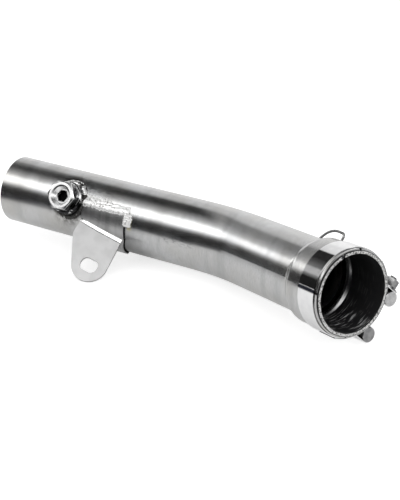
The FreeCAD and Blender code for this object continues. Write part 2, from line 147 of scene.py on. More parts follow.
def rampNode(tree, factor, stops):
    node = addNode(tree, "ShaderNodeValToRGB", i0=factor)
    elements = node.color_ramp.elements
    while len(elements) < len(stops):
        elements.new(position=0.5)
    for element, (position, _) in zip(elements, stops):
        element.position = position
    for element, (_, value) in zip(elements, stops):
        element.color = (*grey(value), 1)
    return node.outputs["Color"]


def mixColour(tree, factor, first, second, blend="MIX"):
    settings = {"data_type": "RGBA", "blend_type": blend}
    node = addNode(tree, "ShaderNodeMix", settings, i0=factor)
    for socket, value in ((node.inputs[6], first), (node.inputs[7], second)):
        if isinstance(value, bpy.types.NodeSocket):
            tree.links.new(value, socket)
        else:
            socket.default_value = (*value, 1)
    return node.outputs[2]


def mixValue(tree, factor, first, second):
    settings = {"data_type": "FLOAT"}
    return addNode(tree, "ShaderNodeMix", settings, i0=factor, i2=first, i3=second).outputs[0]


def fadeNode(tree, value, start, end, low=0.0, high=1.0):
    return addNode(tree, "ShaderNodeMapRange", {"interpolation_type": "SMOOTHSTEP"},
                   i0=value, i1=start, i2=end, i3=low, i4=high).outputs[0]


def fadeOut(tree, value, start, end, high=1.0):
    return fadeNode(tree, value, start, end, high, 0.0)


# Rises over the first pair and falls over the second, with nought on both sides
def windowNode(tree, value, rise, fall, high=1.0):
    return product(tree, fadeNode(tree, value, *rise), fadeOut(tree, value, *fall, high))


def noiseNode(tree, place, scale, detail=3.0, roughness=0.5):
    return addNode(tree, "ShaderNodeTexNoise", Vector=place, Scale=scale, Detail=detail,
                   Roughness=roughness).outputs["Fac"]


def noiseFade(tree, place, scale, detail, fade, share=1.0, roughness=0.5):
    return fadeNode(tree, noiseNode(tree, place, scale, detail, roughness), *fade, 0.0, share)


# Noise that rises evenly from nought to one
def noiseRamp(tree, place, scale, detail, start, end):
    return rampNode(tree, noiseNode(tree, place, scale, detail), [(start, 0), (end, 1)])


# A place whose axes are stretched, each given as a value and its scale
def stretched(tree, *axes):
    scaled = {f"i{k}": product(tree, value, scale) for k, (value, scale) in enumerate(axes)}
    return addNode(tree, "ShaderNodeCombineXYZ", **scaled).outputs[0]


def startMaterial(name, **values):
    material = bpy.data.materials.new(name)
    material.use_nodes = True
    tree = material.node_tree
    shader = tree.nodes["Principled BSDF"]
    for key, value in values.items():
        shader.inputs[key].default_value = value
    place = addNode(tree, "ShaderNodeTexCoord").outputs["Object"]
    return material, tree, shader, place


def addBump(tree, shader, height, strength, distance, **facing):
    bump = addNode(tree, "ShaderNodeBump", Strength=strength, Distance=distance, Height=height,
                   **facing)
    tree.links.new(bump.outputs["Normal"], shader.inputs["Normal"])


def dress(material, *names):
    for name in names:
        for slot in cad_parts[name].material_slots:
            slot.material = material


# Floor and studio
studio = {
    "floorSize": 12.0,
    "floorWhite": 0.72,
    "cameraLift": 0.66,  # brings the floor to white for the camera
    "glossLift": 0.26,
    "glossReach": (0.24, 0.42),  # metal sees the paper this far out, then the dark room
    "frontHalf": 0.1,  # the dark room is only in front, and fades in over this to each side
    "room": (0.02, 0.022, 0.03),
    "softLight": 0.95,
    "turnDepth": 0.63,  # the flags and the strip light lie round this line
    "strength": 4.0,
    "flags": [  # degrees round that line, then the brightness
        (0, 1.05), (52, 1.0), (68, 0.86), (82, 0.86), (95, 0.72), (98, 0.018), (179, 0.014)],
    "strip": [
        (118, 0.0), (127, 0.3), (138, 0.9), (142, 2.6), (152, 2.8), (157, 0.9), (162, 0.0)],
    "fill": [  # a weak panel that only the neck and the socket see
        (96, 0.0), (101, 0.45), (124, 0.45), (134, 0.2), (140, 0.0)],
    "fillReach": (0.13, 0.2),
    "notchAt": -0.745,  # the strip is weak where the polished band would mirror it
    "notchReach": (0.018, 0.034),
    "notchShare": 0.16,
}

bpy.ops.mesh.primitive_plane_add(size=studio["floorSize"], location=(0, 0, 0))
floor = bpy.context.object
floor.name = "floor"
floorMaterial = bpy.data.materials.new("floorPaper")
floorMaterial.use_nodes = True
floorMaterial.cycles.emission_sampling = "NONE"
tree = floorMaterial.node_tree
tree.nodes.remove(tree.nodes["Principled BSDF"])
lightPath = addNode(tree, "ShaderNodeLightPath").outputs
paper = addNode(tree, "ShaderNodeBsdfDiffuse", Color=(*grey(studio["floorWhite"]), 1))
lift = mathNode(tree, "ADD", product(tree, lightPath["Is Camera Ray"], studio["cameraLift"]),
                product(tree, lightPath["Is Glossy Ray"], studio["glossLift"]))
glow = addNode(tree, "ShaderNodeEmission", Color=(1, 1, 1, 1), Strength=lift)
litPaper = addNode(tree, "ShaderNodeAddShader", i0=paper.outputs[0], i1=glow.outputs[0])
spot = addNode(tree, "ShaderNodeTexCoord").outputs["Object"]
outward = vectorNode(tree, "LENGTH", spot, result="Value")
acrossFloor = addNode(tree, "ShaderNodeSeparateXYZ", i0=spot).outputs["Y"]
front = fadeOut(tree, acrossFloor, -studio["frontHalf"], studio["frontHalf"])
darkShare = product(tree, lightPath["Is Glossy Ray"], front,
                    fadeNode(tree, outward, *studio["glossReach"]))
darkRoom = addNode(tree, "ShaderNodeEmission", Color=(*studio["room"], 1), Strength=1.0)
shown = addNode(tree, "ShaderNodeMixShader", i0=darkShare, i1=litPaper.outputs[0],
                i2=darkRoom.outputs[0])
tree.links.new(shown.outputs[0], tree.nodes["Material Output"].inputs["Surface"])
floor.data.materials.append(floorMaterial)

world = bpy.data.worlds.new("studio")
bpy.context.scene.world = world
world.use_nodes = True
world.cycles.sampling_method = "NONE"
tree = world.node_tree
tree.nodes.clear()
direction = addNode(tree, "ShaderNodeTexCoord").outputs["Generated"]
parts = addNode(tree, "ShaderNodeSeparateXYZ", i0=direction).outputs
depth = minus(tree, parts["Y"], studio["turnDepth"])
turn = mathNode(tree, "DIVIDE", mathNode(tree, "ARCTAN2", parts["Z"], depth), math.pi)
flags, strip, fill = [
    rampNode(tree, turn, [(a / 180, value / studio["strength"]) for a, value in studio[panel]])
    for panel in ("flags", "strip", "fill")]
offNotch = distanceTo(tree, dotNode(tree, direction, neckAxis), studio["notchAt"])
stripShare = fadeNode(tree, offNotch, *studio["notchReach"], studio["notchShare"], 1.0)
fillShare = windowNode(tree, offNotch, studio["notchReach"], studio["fillReach"])
lights = mixColour(tree, stripShare, flags, strip, "ADD")
lights = mixColour(tree, fillShare, lights, fill, "ADD")
mirrored = addNode(tree, "ShaderNodeBackground", Color=lights, Strength=studio["strength"])
soft = addNode(tree, "ShaderNodeBackground", Color=(1, 1, 1, 1), Strength=studio["softLight"])
white = addNode(tree, "ShaderNodeBackground", Color=(1, 1, 1, 1), Strength=1.0)
lightPath = addNode(tree, "ShaderNodeLightPath").outputs
inner = addNode(tree, "ShaderNodeMixShader", i0=lightPath["Is Glossy Ray"],
                i1=soft.outputs[0], i2=mirrored.outputs[0])
outer = addNode(tree, "ShaderNodeMixShader", i0=lightPath["Is Camera Ray"],
                i1=inner.outputs[0], i2=white.outputs[0])
addNode(tree, "ShaderNodeOutputWorld", Surface=outer.outputs[0])
print("floor and studio ready")


# Where a shaded point lies, about the neck, the straight run, the tube and the bung
def fromPoint(tree, place, point):
    return vectorNode(tree, "SUBTRACT", place, tuple(point))


def aboutNeck(tree, place):
    moved = fromPoint(tree, place, neckStart)
    station = dotNode(tree, moved, neckAxis)
    inward = dotNode(tree, moved, neckInside)
    sideways = dotNode(tree, moved, pipe["side"])
    turned = mathNode(tree, "ARCTAN2", sideways, inward)
    return station, crossLength(tree, inward, sideways), turned


def aboutRun(tree, place):
    moved = fromPoint(tree, place, pipe["start"])
    return [dotNode(tree, moved, pipe[axis]) for axis in ("along", "inside", "side")]


def tubeRadius(tree, place):
    station, inward, sideways = aboutRun(tree, place)
    inStraight = crossLength(tree, inward, sideways)
    swing = crossLength(tree, minus(tree, station, pipe["straight"]),
                        minus(tree, inward, pipe["bendRadius"]))
    inBend = crossLength(tree, minus(tree, swing, pipe["bendRadius"]), sideways)
    neckStation, inNeck = aboutNeck(tree, place)[:2]
    pastEntry = mixValue(tree, mathNode(tree, "GREATER_THAN", neckStation, 0.0), inBend, inNeck)
    beforeEntry = mathNode(tree, "LESS_THAN", station, pipe["straight"])
    return mixValue(tree, beforeEntry, pastEntry, inStraight)


bung = {"station": 0.0736, "clock": -14.1}
bungOut = outwardAt(bung["clock"])
bungSide = outwardAt(bung["clock"] + 90)
bungFoot = pipe["start"] + pipe["along"] * bung["station"]


def aboutBung(tree, place):
    moved = fromPoint(tree, place, bungFoot)
    height = dotNode(tree, moved, bungOut)
    beside = dotNode(tree, moved, bungSide)
    return height, crossLength(tree, dotNode(tree, moved, pipe["along"]), beside), beside


# The bracket's saddle ends square at the top and slanted lower down
saddleEnd = {"station": 0.1328, "slantFrom": 0.0171, "slant": 0.414, "bare": (0.0025, 0.0035)}


def pastSaddle(tree, station, sideways):
    lower = mathNode(tree, "MAXIMUM", minus(tree, sideways, saddleEnd["slantFrom"]), 0.0)
    line = minus(tree, saddleEnd["station"], product(tree, lower, saddleEnd["slant"]))
    return minus(tree, station, line)


# Finishes of the CAD nodes. In the dictionaries, a pair of lengths or noise levels is where
# a fade starts and ends, and two such pairs are its rise and its fall. One number after them
# is the largest share, and two are the values at both ends. A noise is its scale and its
# detail first, and a bump is its strength and its depth.
tubeSteel = {
    "colour": (0.60, 0.605, 0.61),
    "roughness": 0.27,  # for viewers that skip the nodes
    "nearHalf": (0.0, 0.002),  # the half at the inside of the bend, which faces the camera
    "cloud": (0.50, 0.49, 0.47),
    "cloudNoise": (30, 2, 0.35, 0.75),
    "ring": grey(0.28),  # soft rings left by the brushing, which run round the tube
    "ringNoise": (80, 2),
    "ringFade": (0.48, 0.7),
    "ringShare": 0.28,
    "ringBump": (0.03, 0.0003),
    "roundStretch": 0.12,
    "grain": grey(0.3),
    "grainNoise": {"scale": 1500, "detail": 2, "fade": (0.35, 0.7), "share": 0.22},
    "scuff": grey(0.14),  # specks that the bending and the welding left
    "scuffNoise": {"scale": 650, "detail": 3, "fade": (0.5, 0.62), "share": 0.5,
                   "roughness": 0.6},
    "scuffStretch": 0.35,
    "bendScuffs": {"station": ((0.162, 0.172), (0.196, 0.206)),
                   "sideways": ((-0.006, -0.002), (0.006, 0.010))},
    "beadScuffs": {"station": ((0.084, 0.088), (0.120, 0.135)),
                   "sideways": ((-0.0235, -0.0215), (-0.0185, -0.0165))},
    "burnt": (0.12, 0.115, 0.11),  # round the bung's weld
    "burntNoise": {"scale": 120, "detail": 4, "fade": (0.35, 0.6), "roughness": 0.6},
    "burntReach": (0.016, 0.026),
    "burntHeight": (0.0, 0.01),
    "shade": grey(0.25),  # beside the saddle's end
    "shadeFrom": (-0.008, 0.002),
    "shadePast": ((0.0, 0.001), (0.002, 0.016), 0.6),
    "paintedDarkUnder": grey(0.10),  # painted dark reflection past the saddle's lower end
    "underFrom": (0.016, 0.027),
    "underPast": ((0.0, 0.001), (0.012, 0.04), 0.6),
    "straw": (0.50, 0.47, 0.30),  # a heat stain a little further on
    "strawAcross": ((-0.004, -0.001), (0.005, 0.008)),
    "strawPast": ((0.002, 0.003), (0.005, 0.008), 0.8),
    "sootAndShadow": grey(0.012),  # soot and painted shade in the bore, and a painted shadow in the line at the saddle's end
    "shadowLinePast": ((-0.001, -0.0005), (0.0002, 0.0006)),
    "bore": (0.16, 0.155, 0.15),
    "boreNoise": {"scale": 70, "detail": 4, "fade": (0.35, 0.7), "share": 0.5},
    "boreWall": (0.0288, 0.0292),
    "boreUntil": (0.072, 0.087),
    # painted light: the bore is lighter near the plain end
    "endLight": (0.0, 0.035, 0.5),
    "coneShade": grey(0.24),  # painted shade on the inside of the step, seen through the socket
    "coneSlope": 0.494,  # of its wall, as in the CAD
    "coneWall": (-0.0135, -0.0133),
    "coneStation": ((0.084, 0.086), (0.0945, 0.0950)),
    "patchNoise": (40, 2),
    "patchFade": (0.3, 0.7, 0.21, 0.25),  # of the roughness
    "dullRoughness": 0.6,
    "easeHalf": 0.034,  # this far to each side of the bend's exit
}
material, tree, shader, place = startMaterial("tubeSteel", Metallic=1.0,
                                              Roughness=tubeSteel["roughness"])
station, inward, sideways = aboutRun(tree, place)
nearHalf = fadeNode(tree, inward, *tubeSteel["nearHalf"])
cloudy = noiseRamp(tree, place, *tubeSteel["cloudNoise"])
colour = mixColour(tree, cloudy, tubeSteel["colour"], tubeSteel["cloud"])
ringPlace = stretched(tree, (station, 1.0), (sideways, tubeSteel["roundStretch"]),
                      (inward, tubeSteel["roundStretch"]))
rings = noiseNode(tree, ringPlace, *tubeSteel["ringNoise"])
ringed = fadeNode(tree, rings, *tubeSteel["ringFade"], 0.0, tubeSteel["ringShare"])
colour = mixColour(tree, ringed, colour, tubeSteel["ring"])
colour = mixColour(tree, noiseFade(tree, ringPlace, **tubeSteel["grainNoise"]), colour,
                   tubeSteel["grain"])

scuffPlace = stretched(tree, (station, tubeSteel["scuffStretch"]), (sideways, 1.0),
                       (inward, 1.0))
atBend, atBead = [
    product(tree, windowNode(tree, station, *area["station"]),
            windowNode(tree, sideways, *area["sideways"]))
    for area in (tubeSteel["bendScuffs"], tubeSteel["beadScuffs"])]
scuffed = product(tree, mathNode(tree, "ADD", atBend, atBead), nearHalf,
                  noiseFade(tree, scuffPlace, **tubeSteel["scuffNoise"]))
colour = mixColour(tree, scuffed, colour, tubeSteel["scuff"])

height, fromBung = aboutBung(tree, place)[:2]
burnt = product(tree, fadeOut(tree, fromBung, *tubeSteel["burntReach"]),
                fadeNode(tree, height, *tubeSteel["burntHeight"]),
                noiseFade(tree, place, **tubeSteel["burntNoise"]))
colour = mixColour(tree, burnt, colour, tubeSteel["burnt"])

# Painted shade beside the saddle's end, a painted dark reflection past its lower end, the heat
# stain, and a painted shadow line at the saddle's end
past = pastSaddle(tree, station, sideways)
shade = product(tree, fadeNode(tree, sideways, *tubeSteel["shadeFrom"]), nearHalf,
                windowNode(tree, past, *tubeSteel["shadePast"]))
colour = mixColour(tree, shade, colour, tubeSteel["shade"])
# Painted dark reflection: the underside past the saddle's lower end is darkened
paintedDarkUnder = product(tree, fadeNode(tree, sideways, *tubeSteel["underFrom"]),
                windowNode(tree, past, *tubeSteel["underPast"]))
colour = mixColour(tree, paintedDarkUnder, colour, tubeSteel["paintedDarkUnder"])
straw = product(tree, windowNode(tree, sideways, *tubeSteel["strawAcross"]), nearHalf,
                windowNode(tree, past, *tubeSteel["strawPast"]))
colour = mixColour(tree, straw, colour, tubeSteel["straw"])
# Painted shadow: a black line on the tube along the saddle's end, where the gap under the sheet
# is
line = product(tree, fadeNode(tree, sideways, *saddleEnd["bare"]), nearHalf,
               windowNode(tree, past, *tubeSteel["shadowLinePast"]))
colour = mixColour(tree, line, colour, tubeSteel["sootAndShadow"])

# The bore, dark from soot and painted shade, with random lighter patches and painted light near
# the plain end, and painted shade on the cone
neckStation, neckRadius = aboutNeck(tree, place)[:2]
inBore = product(tree, fadeOut(tree, tubeRadius(tree, place), *tubeSteel["boreWall"]),
                 fadeOut(tree, neckStation, *tubeSteel["boreUntil"]))
patchesAndEndLight = mathNode(tree, "ADD", noiseFade(tree, place, **tubeSteel["boreNoise"]),
                   fadeOut(tree, station, *tubeSteel["endLight"]))
bore = mixColour(tree, patchesAndEndLight, tubeSteel["sootAndShadow"], tubeSteel["bore"])
colour = mixColour(tree, inBore, colour, bore)
coneWall = minus(tree, neckRadius, product(tree, neckStation, tubeSteel["coneSlope"]))
inCone = product(tree, fadeOut(tree, coneWall, *tubeSteel["coneWall"]),
                 windowNode(tree, neckStation, *tubeSteel["coneStation"]))
colour = mixColour(tree, inCone, colour, tubeSteel["coneShade"])
tree.links.new(colour, shader.inputs["Base Color"])
patchy = fadeNode(tree, noiseNode(tree, place, *tubeSteel["patchNoise"]),
                  *tubeSteel["patchFade"])
rough = mixValue(tree, mathNode(tree, "MAXIMUM", inBore, line), patchy,
                 tubeSteel["dullRoughness"])
tree.links.new(rough, shader.inputs["Roughness"])

# The shading leaves the bend a little more gently than the CAD's arc does
offExit = mathNode(tree, "ABSOLUTE", neckStation)
nearExit = mathNode(tree, "MAXIMUM", minus(tree, tubeSteel["easeHalf"], offExit), 0.0)
easeScale = -1 / (4 * tubeSteel["easeHalf"] * pipe["bendRadius"])
facing = addNode(tree, "ShaderNodeNewGeometry").outputs["Normal"]
swing = vectorNode(tree, "CROSS_PRODUCT", tuple(pipe["side"]), facing)
swing = vectorNode(tree, "MULTIPLY", swing, product(tree, nearExit, nearExit, easeScale))
eased = vectorNode(tree, "NORMALIZE", vectorNode(tree, "ADD", facing, swing))
addBump(tree, shader, rings, *tubeSteel["ringBump"], Normal=eased)
dress(material, "main_tube")

bandPolish = {
    "colour": grey(0.84),
    "rubbed": (0.76, 0.76, 0.77),
    "rubbedNoise": (160, 3, 0.4, 0.8),
    "roughness": 0.06,
    "waveNoise": (90, 2),
    "waveBump": (0.03, 0.0006),
}
material, tree, shader, place = startMaterial("bandPolish", Metallic=1.0,
                                              Roughness=bandPolish["roughness"])
rubbed = noiseRamp(tree, place, *bandPolish["rubbedNoise"])
colour = mixColour(tree, rubbed, bandPolish["colour"], bandPolish["rubbed"])
tree.links.new(colour, shader.inputs["Base Color"])
addBump(tree, shader, noiseNode(tree, place, *bandPolish["waveNoise"]),
        *bandPolish["waveBump"])
dress(material, "clamp_band", "clamp_tongue")

gasketGraphite = {
    "dark": (0.008, 0.008, 0.009),
    "roughness": 0.62,
    "streak": grey(0.80),  # worn lines that run round the wall, shown only on the lit side: wear with painted light
    "streakNoise": (1.0, 3),
    "streakAlong": 1050.0,
    "streakRound": 2.4,
    "streakFade": (0.57, 0.62),
    "patchNoise": {"scale": 60, "detail": 2, "fade": (0.36, 0.50)},
    "litAt": 1.6,  # radians round the neck, where that painted light is brightest
    "litFade": (0.5, 1.2, 1.0, 0.04),
    "rim": (0.74, 0.74, 0.73),
    "rimFrom": (0.0303, 0.0305),
    "crack": grey(0.05),
    "crumbNoise": (900, 4, 0.6),
    "crumbFade": (0.47, 0.6),
    "wave": 0.14,  # radians over which the sides of the break waver
    "waveNoise": (500, 2),
    "breakAt": -1.03,
    "breakHalf": (0.035, 0.055),
    "seamFrom": (0.0323, 0.0325),  # against the socket
    "seamWave": 0.003,  # metres for each of those radians
    "bump": (0.4, 0.0003),
}
material, tree, shader, place = startMaterial("gasketGraphite",
                                              Roughness=gasketGraphite["roughness"])
station, radius, turned = aboutNeck(tree, place)
streakPlace = stretched(tree, (station, gasketGraphite["streakAlong"]),
                        (turned, gasketGraphite["streakRound"]))
streaks = noiseNode(tree, streakPlace, *gasketGraphite["streakNoise"])
# Painted light: the streaks fade out away from the side that the light reaches
lit = fadeNode(tree, distanceTo(tree, turned, gasketGraphite["litAt"]),
               *gasketGraphite["litFade"])
streaked = product(tree, fadeNode(tree, streaks, *gasketGraphite["streakFade"]), lit,
                   noiseFade(tree, place, **gasketGraphite["patchNoise"]))
wall = mixColour(tree, streaked, gasketGraphite["dark"], gasketGraphite["streak"])
crumbs = noiseNode(tree, place, *gasketGraphite["crumbNoise"])
rim = mixColour(tree, fadeNode(tree, crumbs, *gasketGraphite["crumbFade"]),
                gasketGraphite["rim"], gasketGraphite["crack"])
waves = noiseNode(tree, place, *gasketGraphite["waveNoise"])
wavy = product(tree, minus(tree, waves, 0.5), gasketGraphite["wave"])
fromBreak = mathNode(tree, "ADD", minus(tree, turned, gasketGraphite["breakAt"]), wavy)
broken = fadeOut(tree, mathNode(tree, "ABSOLUTE", fromBreak), *gasketGraphite["breakHalf"])
wavyRadius = mathNode(tree, "ADD", radius, product(tree, wavy, gasketGraphite["seamWave"]))
seam = fadeNode(tree, wavyRadius, *gasketGraphite["seamFrom"])
rim = mixColour(tree, mathNode(tree, "MAXIMUM", broken, seam), rim, gasketGraphite["dark"])
onRim = fadeNode(tree, radius, *gasketGraphite["rimFrom"])
tree.links.new(mixColour(tree, onRim, wall, rim), shader.inputs["Base Color"])
addBump(tree, shader, mixValue(tree, onRim, streaks, crumbs), *gasketGraphite["bump"])
dress(material, "gasket_sleeve")

hardwareSteel = {
    "satin": grey(0.33),
    "darkToneWorn": (0.16, 0.16, 0.17),
    "lightTone": grey(0.56),
    "lightToneWorn": (0.36, 0.36, 0.37),
    "wornNoise": (260, 4, 0.4, 0.75),
    "roughness": 0.24,
    "pitNoise": (1400, 2),
    "bump": (0.1, 0.0001),
}


def hardwareFinish(name, colour, wornColour):
    material, tree, shader, place = startMaterial(name, Metallic=1.0,
                                                  Roughness=hardwareSteel["roughness"])
    worn = noiseRamp(tree, place, *hardwareSteel["wornNoise"])
    tree.links.new(mixColour(tree, worn, colour, wornColour), shader.inputs["Base Color"])
    pits = noiseNode(tree, place, *hardwareSteel["pitNoise"])
    addBump(tree, shader, pits, *hardwareSteel["bump"])
    return material


# The same steel in two tones: a lighter one for the upper barrel, a darker one for the rest
hardware = hardwareFinish("hardwareDarkTone", hardwareSteel["satin"], hardwareSteel["darkToneWorn"])
lightToneHardware = hardwareFinish("hardwareLightTone", hardwareSteel["lightTone"],
                               hardwareSteel["lightToneWorn"])
dress(hardware, "lower_barrel", "clamp_bolt", "clamp_washer", "clamp_nut")
dress(lightToneHardware, "upper_barrel")

wireDull = {
    "colour": grey(0.34),
    "sooty": grey(0.16),
    "sootNoise": (400, 3, 0.4, 0.7),
    "roughness": 0.4,
}
material, tree, shader, place = startMaterial("wireDull", Metallic=1.0,
                                              Roughness=wireDull["roughness"])
sooty = noiseRamp(tree, place, *wireDull["sootNoise"])
colour = mixColour(tree, sooty, wireDull["colour"], wireDull["sooty"])
tree.links.new(colour, shader.inputs["Base Color"])
dress(material, "wire_hook")

bungTurned = {
    "colour": grey(0.70),
    "burnt": (0.03, 0.03, 0.032),
    "blotchNoise": (210, 4, 0.6),
    "blotchFade": (0.5, 0.56),
    "underside": (-0.004, 0.009, 0.0, 0.16),  # darker towards the underside
    "roughness": 0.2,
    "bump": (0.35, 0.0004),
}
material, tree, shader, place = startMaterial("bungTurned", Metallic=1.0,
                                              Roughness=bungTurned["roughness"])
beside = aboutBung(tree, place)[2]
blotches = noiseNode(tree, place, *bungTurned["blotchNoise"])
lower = fadeNode(tree, beside, *bungTurned["underside"])
dark = fadeNode(tree, mathNode(tree, "ADD", blotches, lower), *bungTurned["blotchFade"])
colour = mixColour(tree, dark, bungTurned["colour"], bungTurned["burnt"])
tree.links.new(colour, shader.inputs["Base Color"])
addBump(tree, shader, blotches, *bungTurned["bump"])
dress(material, "sensor_bung", "plug_washer")

plugBright = {
    "side": (0.05, 0.05, 0.052),
    "sideWorn": grey(0.42),
    "wornNoise": {"scale": 240, "detail": 4, "fade": (0.52, 0.66)},
    "face": grey(0.84),
    "faceFrom": (0.0444, 0.0448),
    "roughness": 0.16,
    "dish": grey(0.90),
    "dishEdge": (0.0090, 0.0094),
    "dishRoughness": 0.36,
    "ring": ((0.0080, 0.0083), (0.0090, 0.0093)),  # a dark ring on the face, painted on its upper part only: painted shade
    "ringShadeUpper": (-0.004, -0.001),
    "wall": grey(0.60),
    "recessEdge": (0.0061, 0.0063),
    "recessRoughness": 0.45,
    "black": grey(0.004),
    "recessFloor": (0.0386, 0.0406),
    "pitNoise": (700, 3),
    "bump": (0.15, 0.0002),
}
material, tree, shader, place = startMaterial("plugBright", Metallic=1.0,
                                              Roughness=plugBright["roughness"])
height, radius, beside = aboutBung(tree, place)
side = mixColour(tree, noiseFade(tree, place, **plugBright["wornNoise"]), plugBright["side"],
                 plugBright["sideWorn"])
onFace = fadeNode(tree, height, *plugBright["faceFrom"])
inDish = fadeOut(tree, radius, *plugBright["dishEdge"])
inRecess = fadeOut(tree, radius, *plugBright["recessEdge"])
colour = mixColour(tree, onFace, side, plugBright["face"])
colour = mixColour(tree, inDish, colour, plugBright["dish"])
# Painted shade: a dark ring on the face's upper part
upperRingShade = product(tree, windowNode(tree, radius, *plugBright["ring"]), onFace,
                 fadeOut(tree, beside, *plugBright["ringShadeUpper"]))
colour = mixColour(tree, upperRingShade, colour, plugBright["side"])
# Painted shade: the recess is a darker grey, and black towards its floor
colour = mixColour(tree, inRecess, colour, plugBright["wall"])
recessShade = product(tree, inRecess, fadeOut(tree, height, *plugBright["recessFloor"]))
colour = mixColour(tree, recessShade, colour, plugBright["black"])
tree.links.new(colour, shader.inputs["Base Color"])
rough = mixValue(tree, inDish, plugBright["roughness"], plugBright["dishRoughness"])
rough = mixValue(tree, inRecess, rough, plugBright["recessRoughness"])
tree.links.new(rough, shader.inputs["Roughness"])
addBump(tree, shader, noiseNode(tree, place, *plugBright["pitNoise"]), *plugBright["bump"])
dress(material, "bung_plug")

weldBead = {
    # Near white and partly diffuse, so that the beads stay white from every side: a painted
    # highlight
    "colour": (0.96, 0.96, 0.95),
    "dark": (0.34, 0.33, 0.32),
    "scaleNoise": (420, 4),
    "scaleFade": 0.16,
    "burnt": (0.06, 0.058, 0.056),
    "burntNoise": (200, 3),
    "burntFade": (0.5, 0.58),
    "underside": (-0.006, 0.008),
    "pitNoise": (700, 3),
    "bumpDepth": 0.0003,
}


def weldFinish(name, metallic, roughness, bump, scaleFrom=0.52, burntShare=0.0):
    material, tree, shader, place = startMaterial(name, Metallic=metallic, Roughness=roughness)
    scaled = fadeNode(tree, noiseNode(tree, place, *weldBead["scaleNoise"]), scaleFrom,
                      scaleFrom + weldBead["scaleFade"])
    colour = mixColour(tree, scaled, weldBead["colour"], weldBead["dark"])
    if burntShare:
        # Blotches of heat tint, darker towards the underside
        beside = aboutBung(tree, place)[2]
        lower = fadeNode(tree, beside, *weldBead["underside"], 0.0, burntShare)
        smoke = noiseNode(tree, place, *weldBead["burntNoise"])
        sooty = fadeNode(tree, mathNode(tree, "ADD", smoke, lower), *weldBead["burntFade"])
        colour = mixColour(tree, sooty, colour, weldBead["burnt"])
    tree.links.new(colour, shader.inputs["Base Color"])
    pits = noiseNode(tree, place, *weldBead["pitNoise"])
    addBump(tree, shader, pits, bump, weldBead["bumpDepth"])
    return material


brightWeld = weldFinish("weldBead", metallic=0.45, roughness=0.36, bump=0.4, scaleFrom=0.54)
burntWeld = weldFinish("weldBurnt", metallic=1.0, roughness=0.32, bump=0.3, burntShare=0.2)
smoothWeld = weldFinish("weldSmooth", metallic=0.9, roughness=0.25, bump=0.03, scaleFrom=0.72)
dress(brightWeld, "bung_weld", "saddle_weld", "tab_weld")

saddleSheet = {
    "colour": grey(0.50),
    "dull": grey(0.34),
    "brushStretch": 0.15,
    "brushNoise": (160, 3),
    "brushFade": (0.35, 0.75),
    "brushBump": (0.03, 0.0002),
    "roughness": 0.36,
    "edge": grey(0.003),  # the inner half of the end face is painted black: a painted shadow for the gap at the saddle's end
    "edgePast": (-0.0004, -0.0001),
    "edgeRadius": (0.0312, 0.0316),
    "edgeRoughness": 0.8,
}
material, tree, shader, place = startMaterial("saddleSheet", Metallic=1.0,
                                              Roughness=saddleSheet["roughness"])
station, inward, sideways = aboutRun(tree, place)
brushPlace = stretched(tree, (station, 1.0), (sideways, saddleSheet["brushStretch"]))
brushed = noiseNode(tree, brushPlace, *saddleSheet["brushNoise"])
colour = mixColour(tree, fadeNode(tree, brushed, *saddleSheet["brushFade"]),
                   saddleSheet["colour"], saddleSheet["dull"])
past = pastSaddle(tree, station, sideways)
# Painted shadow: the end face's inner half is black and rough
endFaceShadow = product(tree, fadeNode(tree, past, *saddleSheet["edgePast"]),
                 fadeNode(tree, sideways, *saddleEnd["bare"]),
                 fadeOut(tree, crossLength(tree, inward, sideways),
                         *saddleSheet["edgeRadius"]))
tree.links.new(mixColour(tree, endFaceShadow, colour, saddleSheet["edge"]),
               shader.inputs["Base Color"])
rough = mixValue(tree, endFaceShadow, saddleSheet["roughness"], saddleSheet["edgeRoughness"])
tree.links.new(rough, shader.inputs["Roughness"])
addBump(tree, shader, brushed, *saddleSheet["brushBump"])
dress(material, "bracket_saddle")

tabSheet = {
    "colour": grey(0.55),
    "dull": grey(0.49),
    "smudgeNoise": {"scale": 90, "detail": 5, "fade": (0.35, 0.7)},
    "roughness": 0.42,
    "pitNoise": (1500, 2),
    "bump": (0.15, 0.0001),
}
material, tree, shader, place = startMaterial("tabSheet", Metallic=1.0,
                                              Roughness=tabSheet["roughness"])
colour = mixColour(tree, noiseFade(tree, place, **tabSheet["smudgeNoise"]),
                   tabSheet["colour"], tabSheet["dull"])
tree.links.new(colour, shader.inputs["Base Color"])
addBump(tree, shader, noiseNode(tree, place, *tabSheet["pitNoise"]), *tabSheet["bump"])
dress(material, "bracket_tab")
print("finishes ready")


